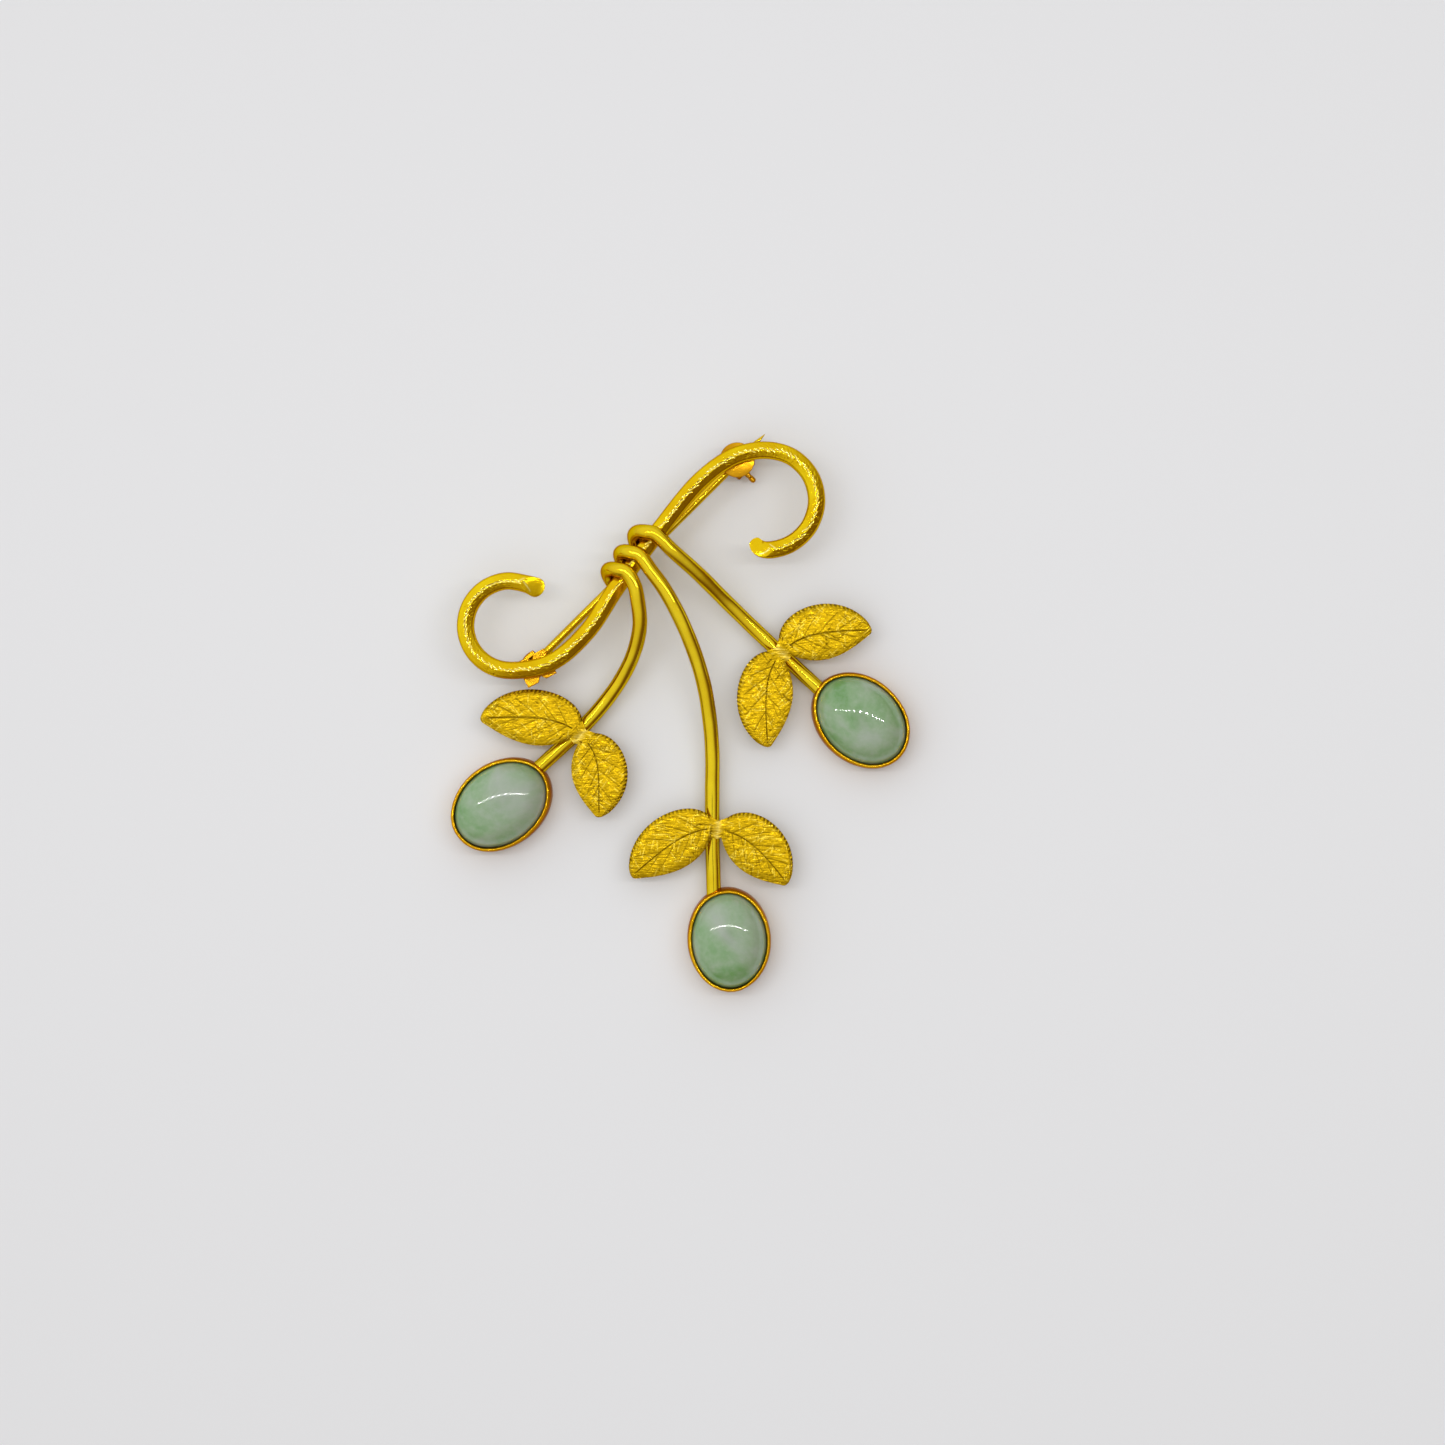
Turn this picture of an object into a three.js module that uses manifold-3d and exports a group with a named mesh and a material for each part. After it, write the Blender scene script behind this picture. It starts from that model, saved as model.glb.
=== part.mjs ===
// A berry-spray brooch in millimetres, lying on its back with +Z towards whoever looks at it.
// A curled bar carries three wire stems that are wrapped round it and soldered. Each stem has a
// pair of leaves and ends at a bezel cup with a cabochon. Behind the bar a pin tongue turns on a
// rivet in a hinge, and its far end lies in a catch that a turning lock closes.
import * as THREE from "three";
import { mergeVertices } from "three/addons/utils/BufferGeometryUtils.js";
import Module from "manifold-3d";

const wasm = await Module();
wasm.setup();

// Driving dimensions
const SEAM = 0.05; // solder seam between two fixed pieces
const RUNNING = 0.07; // radial clearance where a piece turns on another

const BAR_D = 1.74;
const LEFT_CURL_R = 4.45;
const LEFT_CURL_FOOT = [-16.93, 4.23]; // lowest point of the left curl's centre line
const RIGHT_CURL_R = 4.95;
const RIGHT_CURL_CROWN = [8.55, 26.1]; // highest point of the right curl's centre line
const TIP_BEVEL = 38; // degrees between the filed face on a bar tip and the bar
const TIP_LAND = 0.25; // thickness left at the very end of a bar tip

const STEM_D = 1.5;
const STEM_END_RISE = 1.6; // height of a stem's centre where it meets its bezel
const WRAP_SWEEP = 185; // degrees of a stem's wrap, from its hidden end to the top of the bar

const BEZEL_WALL = 0.33;
const BEZEL_TOP = 3.2;
const BEZEL_LIP = 0.7; // height of the lip that leans in over the stone
const BEZEL_LEAN = 0.12; // how far the lip leans in
const CUP_BACK_T = 0.5;
const STONE_GIRDLE = 1.0; // upright edge under the dome
const STONE_DOME = 3.4;
const STONE_FULLNESS = 0.8; // power that fills the dome out, 1 would leave it elliptical

const LEAF_T = 0.4;
const LEAF_SPREAD = 55.7; // degrees between a leaf and the pair's middle line
const LEAF_BELLY_OUT = 5.2; // how far the outer edge's handle stands off the leaf's axis
const LEAF_BELLY_IN = 3; // the same on the inner edge
const LEAF_TIP_W = 0.3; // width of the blunt tip
const BRIDGE_HALF = 0.9; // half the length of the bridge over the stem

const PIN_ANGLE = 44.9; // degrees from +X to the tongue
const PIN_PIVOT = [-14.75, 4.98];
const TONGUE_D = 0.8;
const TONGUE_L = 32.75; // pivot to point
const TONGUE_POINT = 2.4; // length of the sharpened end
const TONGUE_CLEAR = 0.25; // between the tongue and the wraps above it
const RIVET_R = 0.38;
const RIVET_HEAD_R = 0.6;
const RIVET_HEAD_T = 0.2;
const KNUCKLE_R = 0.78;
const KNUCKLE_W = 1.0;
const KNUCKLE_SIDE = 0.08; // play on each side of the knuckle
const EAR_T = 0.4;
const EAR_R = 0.85;
const PLATE_T = 0.4;
const HINGE_PLATE = [3.2, 2.8]; // length and width
const HINGE_PLATE_SHIFT = [-0.15, -0.57]; // its middle, from the pivot along and across the tongue
const HINGE_PLATE_TURN = -17; // degrees from the tongue to the plate
const HINGE_NOTCH = 0.45;

const CATCH_AT = 28.6; // pivot to the lock's lever
const CATCH_R = 1.45;
const CATCH_NEAR_W = 0.6; // ring on the hinge side of the lever
const CATCH_FAR_W = 0.9; // ring on the point side
const CATCH_PLATE_R = 1.75;
const NECK_W = 1.5;
const GAP_RELIEF = 0.1; // the saw cut between the rings goes this much deeper than the rings
const SLOT_CLEAR = 0.09; // each side of the tongue in the slots
const LOCK_BORE_CLEAR = 0.1; // round the tongue in the lock
const LOCK_WALL = 0.38;
const LEVER_D = 0.55;
const LEVER_REACH = 2.7; // lever's end from the tongue's axis
const LEVER_SIDE = 0.1; // play between the lever and each ring

// Heights that follow from them
const TONGUE_Z = CATCH_R; // the catch rests on the same plane as the backs of the cups
const WRAP_R = BAR_D / 2 + SEAM + STEM_D / 2;
const BAR_Z = TONGUE_Z + TONGUE_D / 2 + TONGUE_CLEAR + STEM_D / 2 + WRAP_R;
const BAR_BACK_Z = BAR_Z - BAR_D / 2;
const PLATE_Z = BAR_BACK_Z - SEAM - PLATE_T;
const LEAF_Z = STEM_END_RISE + STEM_D / 2 + SEAM;

// One entry for each stem. station is where it crosses the bar, in millimetres from the left tip,
// lead is how far a quarter turn of its wrap moves along the bar, heading and reach lead to the
// end at the bezel, and each route point is a fraction of the reach and a step to the left. The
// leaf pair sits back from that end and aside to the left, turned by a few degrees.
const STEMS = [
  {
    name: "left",
    station: 33.4,
    lead: 0.9,
    heading: 245.4,
    reach: 21.2,
    route: [[0.04, 1.25], [0.1, 2.2], [0.2, 3.36], [0.34, 3.9], [0.49, 3.68], [0.65, 2.9], [0.8, 1.79], [0.9, 0.9]],
    leaves: { back: 5, aside: 0.5, turn: 2, rightL: 10.3, leftL: 8.5 },
    stone: { long: 10.2, short: 7.8, aside: 0.19, turn: -4.8 },
  },
  {
    name: "middle",
    station: 35.5,
    lead: 0.9,
    heading: -77.6,
    reach: 34.3,
    route: [
      [0.05, 0.8], [0.11, 1.7], [0.2, 2.61], [0.3, 3.24], [0.4, 3.5], [0.5, 3.33], [0.6, 2.86], [0.72, 1.95], [0.84, 1.06],
    ],
    leaves: { back: 6.2, aside: 0.55, turn: -5.3, rightL: 10, leftL: 9 },
    stone: { long: 9.7, short: 7.7, aside: 1.42, turn: 2.5 },
  },
  {
    name: "right",
    station: 38.1,
    lead: 1.15,
    heading: -42.9,
    reach: 22.15,
    route: [[0.1, -0.02], [0.26, 0.09], [0.45, 0.02], [0.65, -0.03], [0.85, -0.01]],
    leaves: { back: 4.9, aside: 0.09, turn: 0.3, rightL: 9.7, leftL: 9.4 },
    stone: { long: 10.2, short: 7.8, aside: 0.5, turn: -0.2 },
  },
];

const BAR_SIDES = 12;
const BAR_STEPS = 84;
const STEM_SIDES = 10;
const STEM_STEPS = 44;
const OVAL_SIDES = 36;
const RING_SIDES = 20;
const UP = new THREE.Vector3(0, 0, 1);

const rad = THREE.MathUtils.degToRad;

function gold(color, roughness) {
  return new THREE.MeshStandardMaterial({ color, roughness, metalness: 1 });
}

const polishedGold = () => gold(0xe0c44a, 0.18);
const engravedGold = () => gold(0xe3bd3c, 0.3);
const brushedGold = () => gold(0xd2aa32, 0.45);
const bezelGold = () => gold(0xd9a032, 0.25);
const findingGold = () => gold(0xcf9f3a, 0.3);
const jade = () => new THREE.MeshStandardMaterial({ color: 0x8fa88a, roughness: 0.12, metalness: 0 });

function solidOf(geometry) {
  const bare = geometry.clone();
  bare.deleteAttribute("normal");
  bare.deleteAttribute("uv");
  const welded = mergeVertices(bare, 1e-5);
  const vertProperties = new Float32Array(welded.attributes.position.array);
  const triVerts = new Uint32Array(welded.index.array);
  return new wasm.Manifold(new wasm.Mesh({ numProp: 3, vertProperties, triVerts }));
}

function geometryOf(solid) {
  const mesh = solid.getMesh();
  const geometry = new THREE.BufferGeometry();
  geometry.setAttribute("position", new THREE.BufferAttribute(mesh.vertProperties, 3));
  geometry.setIndex(new THREE.BufferAttribute(mesh.triVerts, 1));
  geometry.computeVertexNormals();
  return geometry;
}

function piece(name, geometry, material) {
  const mesh = new THREE.Mesh(geometry, material);
  mesh.name = name;
  return mesh;
}

function polar(angle, radius) {
  return new THREE.Vector3(Math.cos(rad(angle)) * radius, Math.sin(rad(angle)) * radius, 0);
}

// Round wire along a curve
function wire(curve, diameter, sides, steps) {
  const rim = [];
  for (let i = 0; i < sides; i++) {
    const at = polar((360 * i) / sides, diameter / 2);
    rim.push(new THREE.Vector2(at.x, at.y));
  }
  return new THREE.ExtrudeGeometry(new THREE.Shape(rim), { steps, extrudePath: curve, bevelEnabled: false });
}

// Solid or ring turned about the Z axis, from [radius, height] points
function turned(profile, sides) {
  const points = profile.map(([radius, height]) => new THREE.Vector2(radius, height));
  return new THREE.LatheGeometry(points, sides).rotateX(Math.PI / 2);
}

function ring(inner, outer, low, high, sides) {
  return turned([[inner, low], [outer, low], [outer, high], [inner, high], [inner, low]], sides);
}

function rod(radius, low, high, sides) {
  return turned([[0, low], [radius, low], [radius, high], [0, high]], sides);
}

function block(lengthX, widthY, lowZ, highZ) {
  return new THREE.BoxGeometry(lengthX, widthY, highZ - lowZ).translate(0, 0, (lowZ + highZ) / 2);
}

// The curled bar: an arc at each end, joined by a long S
function curlPoints(centre, radius, from, to) {
  const points = [];
  const turns = Math.round(Math.abs(to - from) / 30);
  for (let i = 0; i <= turns; i++) {
    points.push(polar(from + ((to - from) * i) / turns, radius).add(centre));
  }
  return points;
}

function barCurve() {
  const left = new THREE.Vector3(LEFT_CURL_FOOT[0], LEFT_CURL_FOOT[1] + LEFT_CURL_R, BAR_Z);
  const right = new THREE.Vector3(RIGHT_CURL_CROWN[0], RIGHT_CURL_CROWN[1] - RIGHT_CURL_R, BAR_Z);
  const leftTip = polar(47, LEFT_CURL_R + 0.5).add(left); // the left end springs open a little
  const rightTip = polar(-112, RIGHT_CURL_R - 0.45).add(right); // the right end closes a little
  const middle = [[-12.86, 5.03], [-9.33, 8.04], [-6.24, 12.65], [-2.2, 18.07], [2.01, 23.15], [5.39, 25.51]];
  return new THREE.CatmullRomCurve3([
    leftTip,
    ...curlPoints(left, LEFT_CURL_R, 68, 270),
    ...middle.map(([x, y]) => new THREE.Vector3(x, y, BAR_Z)),
    ...curlPoints(right, RIGHT_CURL_R, 90, -95),
    rightTip,
  ]);
}

const bar = barCurve();
const barLength = bar.getLength();

// Takes away everything above a slanted plane that leaves a thin land at the end of the bar
function bevelCutter(end, inward) {
  const cutter = block(3 * BAR_D, 2 * BAR_D, 0, 2 * BAR_D).translate(BAR_D, 0, 0);
  const slant = new THREE.Matrix4().makeRotationY(-rad(TIP_BEVEL));
  const heading = new THREE.Matrix4().makeRotationZ(Math.atan2(inward.y, inward.x));
  cutter.applyMatrix4(slant).applyMatrix4(heading);
  return cutter.translate(end.x, end.y, BAR_BACK_Z + TIP_LAND);
}

function scrollBar() {
  const blank = solidOf(wire(bar, BAR_D, BAR_SIDES, BAR_STEPS));
  const leftCut = solidOf(bevelCutter(bar.getPointAt(0), bar.getTangentAt(0)));
  const rightCut = solidOf(bevelCutter(bar.getPointAt(1), bar.getTangentAt(1).negate()));
  return piece("scroll_bar", geometryOf(blank.subtract(leftCut).subtract(rightCut)), engravedGold());
}

// A stem's centre line: under the bar, up its left side, over the top and down to the bezel
function wrapPoint(stem, turn) {
  const along = (stem.station + (stem.lead * turn) / 90) / barLength;
  const tangent = bar.getTangentAt(along);
  const across = new THREE.Vector3().crossVectors(tangent, UP);
  const point = bar.getPointAt(along);
  point.addScaledVector(UP, WRAP_R * Math.cos(rad(turn)));
  return point.addScaledVector(across, WRAP_R * Math.sin(rad(turn)));
}

function stemRoute(stem) {
  const ahead = polar(stem.heading, 1);
  const aside = polar(stem.heading + 90, 1);
  const start = wrapPoint(stem, 0);
  const at = (fraction, side) => {
    const point = start.clone().addScaledVector(ahead, stem.reach * fraction).addScaledVector(aside, side);
    const fall = THREE.MathUtils.smoothstep(fraction, 0, 1 - (stem.leaves.back + 3 * BRIDGE_HALF) / stem.reach);
    point.z = THREE.MathUtils.lerp(start.z, STEM_END_RISE, fall);
    return point;
  };
  const wrap = [];
  for (let turn = -WRAP_SWEEP; turn < 1; turn += WRAP_SWEEP / 6) {
    wrap.push(wrapPoint(stem, turn));
  }
  const free = stem.route.map(([fraction, side]) => at(fraction, side));
  return { wrap, free, end: at(1, 0) };
}

// Where a stem ends, which way it heads there, and its whole curve run on into the bezel
function stemLine(stem) {
  const { wrap, free, end } = stemRoute(stem);
  const heading = new THREE.Vector3().subVectors(end, free.at(-1)).setZ(0).normalize();
  const runOn = end.clone().addScaledVector(heading, STEM_D);
  const curve = new THREE.CatmullRomCurve3([...wrap, ...free, end, runOn]);
  const length = curve.getLength();
  const leafAt = (length - STEM_D - stem.leaves.back) / length;
  return { curve, end, heading, leaf: curve.getPointAt(leafAt), leafHeading: curve.getTangentAt(leafAt) };
}

// The oval of a bezel's outer wall, and its place on the end of the stem
function cupFrame(stem, line) {
  const { long, short, aside, turn } = stem.stone;
  const rim = BEZEL_WALL + SEAM;
  const semiLong = long / 2 + rim;
  const semiShort = short / 2 + rim;
  const ahead = semiLong * Math.sqrt(1 - (aside / semiShort) ** 2);
  const heading = Math.atan2(line.heading.y, line.heading.x);
  const left = new THREE.Vector3(-line.heading.y, line.heading.x, 0);
  const centre = line.end.clone().addScaledVector(line.heading, ahead).addScaledVector(left, aside);
  return { semiLong, semiShort, radius: (semiLong + semiShort) / 2, centre, angle: heading + rad(turn) };
}

// Turns round work of the cup's mean radius into its oval
function toOval(geometry, cup) {
  return geometry.scale(cup.semiLong / cup.radius, cup.semiShort / cup.radius, 1);
}

function seated(mesh, cup) {
  mesh.position.set(cup.centre.x, cup.centre.y, 0);
  mesh.rotation.z = cup.angle;
  return mesh;
}

function stemPiece(stem, line, cup) {
  const blank = solidOf(wire(line.curve, STEM_D, STEM_SIDES, STEM_STEPS));
  const saddle = toOval(rod(cup.radius + SEAM, -1, BEZEL_TOP + 1, OVAL_SIDES), cup);
  saddle.rotateZ(cup.angle).translate(cup.centre.x, cup.centre.y, 0);
  return piece(`stem_${stem.name}`, geometryOf(blank.subtract(solidOf(saddle))), polishedGold());
}

function bezelBack(stem, cup) {
  const plate = toOval(rod(cup.radius, 0, CUP_BACK_T, OVAL_SIDES), cup);
  return seated(piece(`bezel_back_${stem.name}`, plate, bezelGold()), cup);
}

function bezelBand(stem, cup) {
  const outer = cup.radius;
  const inner = outer - BEZEL_WALL;
  const foot = CUP_BACK_T + SEAM;
  const shoulder = BEZEL_TOP - BEZEL_LIP;
  const profile = [
    [inner, foot],
    [outer, foot],
    [outer, shoulder],
    [outer - BEZEL_LEAN, BEZEL_TOP],
    [inner - BEZEL_LEAN / 2, BEZEL_TOP],
    [inner, shoulder],
    [inner, foot],
  ];
  const band = toOval(turned(profile, OVAL_SIDES), cup);
  return seated(piece(`bezel_band_${stem.name}`, band, bezelGold()), cup);
}

function cabochon(stem, cup) {
  const girdle = cup.radius - BEZEL_WALL - SEAM;
  const foot = CUP_BACK_T + SEAM;
  const profile = [[0, foot], [girdle, foot]];
  const rings = 8;
  for (let i = 0; i < rings; i++) {
    const rise = (Math.PI / 2) * (i / rings);
    const out = girdle * Math.cos(rise) ** STONE_FULLNESS;
    profile.push([out, foot + STONE_GIRDLE + STONE_DOME * Math.sin(rise) ** STONE_FULLNESS]);
  }
  profile.push([0, foot + STONE_GIRDLE + STONE_DOME]);
  const stone = toOval(turned(profile, OVAL_SIDES), cup);
  return seated(piece(`cabochon_${stem.name}`, stone, jade()), cup);
}

// Two leaves cut from one sheet, joined by a bridge that lies over the stem. The sheet's own +X
// points along the stem, and side is 1 for the leaf on the left of it and -1 for the other.
function leafPoint(side, along, out) {
  const axis = side * LEAF_SPREAD;
  const point = polar(axis, along).add(polar(axis + side * 90, out));
  return new THREE.Vector2(point.x, point.y);
}

function leafEdges(side, length) {
  const at = (along, out) => leafPoint(side, along * length, out);
  const outer = [at(0, 1.6), at(0.1, 4.75), at(0.81, LEAF_BELLY_OUT), at(1, LEAF_TIP_W)];
  const inner = [at(1, 0), at(0.82, -0.75), at(0.45, -LEAF_BELLY_IN), at(0.09, -0.4)];
  return [...new THREE.CubicBezierCurve(...outer).getPoints(12), ...new THREE.CubicBezierCurve(...inner).getPoints(10)];
}

function leafPair(stem, line) {
  const { aside, turn, rightL, leftL } = stem.leaves;
  const outline = [
    new THREE.Vector2(-BRIDGE_HALF, 0),
    ...leafEdges(-1, rightL),
    new THREE.Vector2(BRIDGE_HALF, 0),
    ...leafEdges(1, leftL).reverse(),
  ];
  const sheet = new THREE.ExtrudeGeometry(new THREE.Shape(outline), { depth: LEAF_T, bevelEnabled: false });
  const heading = Math.atan2(line.leafHeading.y, line.leafHeading.x);
  sheet.rotateZ(rad(turn)).translate(0, aside, 0);
  const mesh = piece(`leaf_pair_${stem.name}`, sheet, brushedGold());
  mesh.position.set(line.leaf.x, line.leaf.y, LEAF_Z);
  mesh.rotation.z = heading;
  return mesh;
}

// Findings. They are built with the tongue along +X, its rivet on the Y axis and the pivot at
// the origin, then turned and lifted into place together.
function acrossTongue(geometry) {
  return geometry.rotateX(-Math.PI / 2);
}

function alongTongue(geometry) {
  return geometry.rotateY(Math.PI / 2);
}

const earInside = KNUCKLE_W / 2 + KNUCKLE_SIDE;
const plateLow = PLATE_Z - TONGUE_Z;

function hingePlate() {
  const a = HINGE_PLATE[0] / 2;
  const b = HINGE_PLATE[1] / 2;
  const n = HINGE_NOTCH;
  const half = [[-a, -b], [-n, -b], [0, n - b], [n, -b], [a, -b]];
  const outline = [...half, ...half.map(([x, y]) => [-x, -y])].map(([x, y]) => new THREE.Vector2(x, y));
  const plate = new THREE.ExtrudeGeometry(new THREE.Shape(outline), { depth: PLATE_T, bevelEnabled: false });
  plate.rotateZ(rad(HINGE_PLATE_TURN));
  return plate.translate(HINGE_PLATE_SHIFT[0], HINGE_PLATE_SHIFT[1], plateLow);
}

function ear(side) {
  const shape = new THREE.Shape();
  shape.moveTo(-EAR_R, plateLow + PLATE_T / 2);
  shape.absarc(0, 0, EAR_R, Math.PI, 2 * Math.PI, false);
  shape.lineTo(EAR_R, plateLow + PLATE_T / 2);
  const blank = new THREE.ExtrudeGeometry(shape, { depth: EAR_T, bevelEnabled: false, curveSegments: 10 });
  const middle = side * (earInside + EAR_T / 2);
  return blank.rotateX(Math.PI / 2).translate(0, middle + EAR_T / 2, 0);
}

function hingeBase() {
  const width = earInside + 2 * EAR_T;
  const bore = solidOf(acrossTongue(rod(RIVET_R + SEAM, -width, width, RING_SIDES)));
  const ears = solidOf(ear(1)).add(solidOf(ear(-1)));
  return piece("hinge_base", geometryOf(solidOf(hingePlate()).add(ears).subtract(bore)), findingGold());
}

function hingeRivet() {
  const inside = earInside + EAR_T + SEAM;
  const outside = inside + RIVET_HEAD_T;
  const half = [[RIVET_R, inside], [RIVET_HEAD_R, inside], [RIVET_HEAD_R, outside], [0, outside]];
  const profile = [...half.toReversed().map(([radius, height]) => [radius, -height]), ...half];
  return piece("hinge_rivet", acrossTongue(turned(profile, RING_SIDES)), findingGold());
}

function pinTongue() {
  const half = KNUCKLE_W / 2;
  const knuckle = acrossTongue(ring(RIVET_R + RUNNING, KNUCKLE_R, -half, half, RING_SIDES));
  const root = (RIVET_R + RUNNING + KNUCKLE_R) / 2;
  const shank = [[0, root], [TONGUE_D / 2, root], [TONGUE_D / 2, TONGUE_L - TONGUE_POINT], [0, TONGUE_L]];
  const spike = alongTongue(turned(shank, RING_SIDES));
  return piece("pin_tongue", geometryOf(solidOf(knuckle).add(solidOf(spike))), polishedGold());
}

// The catch: two slotted rings on a neck under a round plate. The lock's lever is between them.
const leverGap = LEVER_D + 2 * LEVER_SIDE;
const slotHalf = TONGUE_D / 2 + SLOT_CLEAR;
const lockBore = TONGUE_D / 2 + LOCK_BORE_CLEAR;
const lockR = lockBore + LOCK_WALL;
const nearEnd = CATCH_AT - leverGap / 2 - CATCH_NEAR_W;
const farEnd = CATCH_AT + leverGap / 2 + CATCH_FAR_W;
const ringBore = lockR + RUNNING;

function slotCutter(from, to) {
  return block(to - from, 2 * slotHalf, -2 * CATCH_R, 0).translate((from + to) / 2, 0, 0);
}

function catchBase() {
  const width = farEnd - nearEnd;
  const middle = (nearEnd + farEnd) / 2;
  const plate = rod(CATCH_PLATE_R, plateLow, plateLow + PLATE_T, RING_SIDES).translate(middle, 0, 0);
  const neckLow = (ringBore + CATCH_R) / 2;
  const neck = block(width, NECK_W, neckLow, plateLow + PLATE_T / 2).translate(middle, 0, 0);
  const barrel = alongTongue(ring(ringBore, CATCH_R, nearEnd, farEnd, RING_SIDES));
  const gapR = CATCH_R + GAP_RELIEF;
  const gap = alongTongue(rod(gapR, CATCH_AT - leverGap / 2, CATCH_AT + leverGap / 2, RING_SIDES));
  const rings = solidOf(barrel).subtract(solidOf(slotCutter(nearEnd - 1, farEnd + 1)));
  const whole = rings.add(solidOf(neck)).add(solidOf(plate)).subtract(solidOf(gap));
  return piece("catch_base", geometryOf(whole), findingGold());
}

function catchLock() {
  const sleeve = alongTongue(ring(lockBore, lockR, nearEnd, farEnd, RING_SIDES));
  const opened = solidOf(sleeve).subtract(solidOf(slotCutter(nearEnd - 1, farEnd + 1)));
  const root = lockBore + LOCK_WALL / 2;
  const lever = rod(LEVER_D / 2, root, LEVER_REACH, 12).rotateX(Math.PI / 2).translate(CATCH_AT, 0, 0);
  return piece("catch_lock", geometryOf(opened.add(solidOf(lever))), findingGold());
}

function findings() {
  const group = new THREE.Group();
  group.add(hingeBase(), hingeRivet(), pinTongue(), catchBase(), catchLock());
  group.position.set(PIN_PIVOT[0], PIN_PIVOT[1], TONGUE_Z);
  group.rotation.z = rad(PIN_ANGLE);
  return group;
}

const brooch = new THREE.Group();
brooch.add(scrollBar());
for (const stem of STEMS) {
  const line = stemLine(stem);
  const cup = cupFrame(stem, line);
  brooch.add(stemPiece(stem, line, cup), leafPair(stem, line));
  brooch.add(bezelBack(stem, cup), bezelBand(stem, cup), cabochon(stem, cup));
}
brooch.add(findings());

export default brooch;
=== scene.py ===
import math

import bmesh
import bpy
import numpy as np
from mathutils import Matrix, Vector


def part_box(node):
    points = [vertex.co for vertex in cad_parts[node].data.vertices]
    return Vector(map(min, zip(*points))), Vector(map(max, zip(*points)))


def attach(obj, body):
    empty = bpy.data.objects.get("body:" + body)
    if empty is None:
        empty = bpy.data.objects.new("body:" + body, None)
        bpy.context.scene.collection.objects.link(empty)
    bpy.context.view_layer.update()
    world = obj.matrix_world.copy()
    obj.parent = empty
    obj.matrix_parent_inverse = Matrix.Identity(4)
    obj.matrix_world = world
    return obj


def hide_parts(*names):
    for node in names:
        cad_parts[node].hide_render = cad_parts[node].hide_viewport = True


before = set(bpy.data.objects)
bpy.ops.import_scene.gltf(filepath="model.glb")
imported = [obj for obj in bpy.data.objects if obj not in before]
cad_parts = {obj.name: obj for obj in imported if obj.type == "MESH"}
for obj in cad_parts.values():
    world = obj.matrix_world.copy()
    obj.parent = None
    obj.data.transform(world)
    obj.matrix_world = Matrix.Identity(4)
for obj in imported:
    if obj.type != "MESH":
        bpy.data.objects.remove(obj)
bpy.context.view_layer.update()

# The camera looks straight down on the brooch from about a quarter of a metre. Sizes in this
# file are millimetres in the frame of the brooch, and MM turns them into metres.
MM = 0.001
LENS = 60.0
SENSOR = 36.0
VIEW_WIDTH = 144.5
VIEW_MIDDLE = (4.15, -0.95)
SHARP_HEIGHT = 3.0
camera_height = SHARP_HEIGHT + VIEW_WIDTH * LENS / SENSOR

camera_data = bpy.data.cameras.new("camera")
camera_data.lens = LENS
camera_data.sensor_width = SENSOR
camera_data.clip_start = 0.005
camera_data.clip_end = 10.0
camera = bpy.data.objects.new("camera", camera_data)
camera.location = Vector((*VIEW_MIDDLE, camera_height)) * MM
bpy.context.collection.objects.link(camera)
bpy.context.scene.camera = camera
bpy.context.scene.view_settings.view_transform = "Standard"


# A plain white table top inside a white tent. The tent's sky lights everything softly, with one
# wide softbox above it and a row of small lamps whose dots show in the polished stones.
def shader_nodes(material):
    """An empty node tree with one surface shader, and a helper that adds nodes to it."""
    material.use_nodes = True
    tree = material.node_tree
    tree.nodes.clear()
    out = tree.nodes.new("ShaderNodeOutputMaterial")
    surface = tree.nodes.new("ShaderNodeBsdfPrincipled")
    tree.links.new(surface.outputs["BSDF"], out.inputs["Surface"])
    return tree, surface


def node(tree, kind, links=(), **values):
    """Adds a node, sets its properties and sockets by name, and links (output, socket) pairs."""
    made = tree.nodes.new("ShaderNode" + kind)
    for name, value in values.items():
        if hasattr(made, name):
            setattr(made, name, value)
        else:
            made.inputs[name.replace("_", " ")].default_value = value
    for output, socket in links:
        tree.links.new(output, made.inputs[socket])
    return made


def overlay(tree, share, base, colour):
    """Lays a plain colour over a coloured output, as far as the share reaches."""
    mix = node(tree, "Mix", [(share, "Factor"), (base, "A")], data_type="RGBA")
    mix.inputs["B"].default_value = (*colour, 1)
    return mix.outputs["Result"]


def table_top():
    """A square 6 metres wide, so that its edge stays far out of view."""
    half = 3.0
    mesh = bpy.data.meshes.new("table_top")
    corners = [(-half, -half, 0), (half, -half, 0), (half, half, 0), (-half, half, 0)]
    mesh.from_pydata(corners, [], [(0, 1, 2, 3)])
    table = bpy.data.objects.new("table_top", mesh)
    bpy.context.collection.objects.link(table)
    white = bpy.data.materials.new("white_table")
    _, surface = shader_nodes(white)
    surface.inputs["Base Color"].default_value = (0.77, 0.785, 0.81, 1)
    surface.inputs["Roughness"].default_value = 0.9
    mesh.materials.append(white)


def lamp(name, place, size, power, aim=(0, 0, 0)):
    """A flat rectangular lamp that faces a point. place, size and aim are in millimetres."""
    light = bpy.data.lights.new(name, "AREA")
    light.shape = "RECTANGLE"
    light.size = size[0] * MM
    light.size_y = size[1] * MM
    light.energy = power
    holder = bpy.data.objects.new(name, light)
    holder.location = Vector(place) * MM
    holder.rotation_euler = (Vector(aim) - Vector(place)).to_track_quat("-Z", "Y").to_euler()
    bpy.context.collection.objects.link(holder)
    return holder


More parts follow.
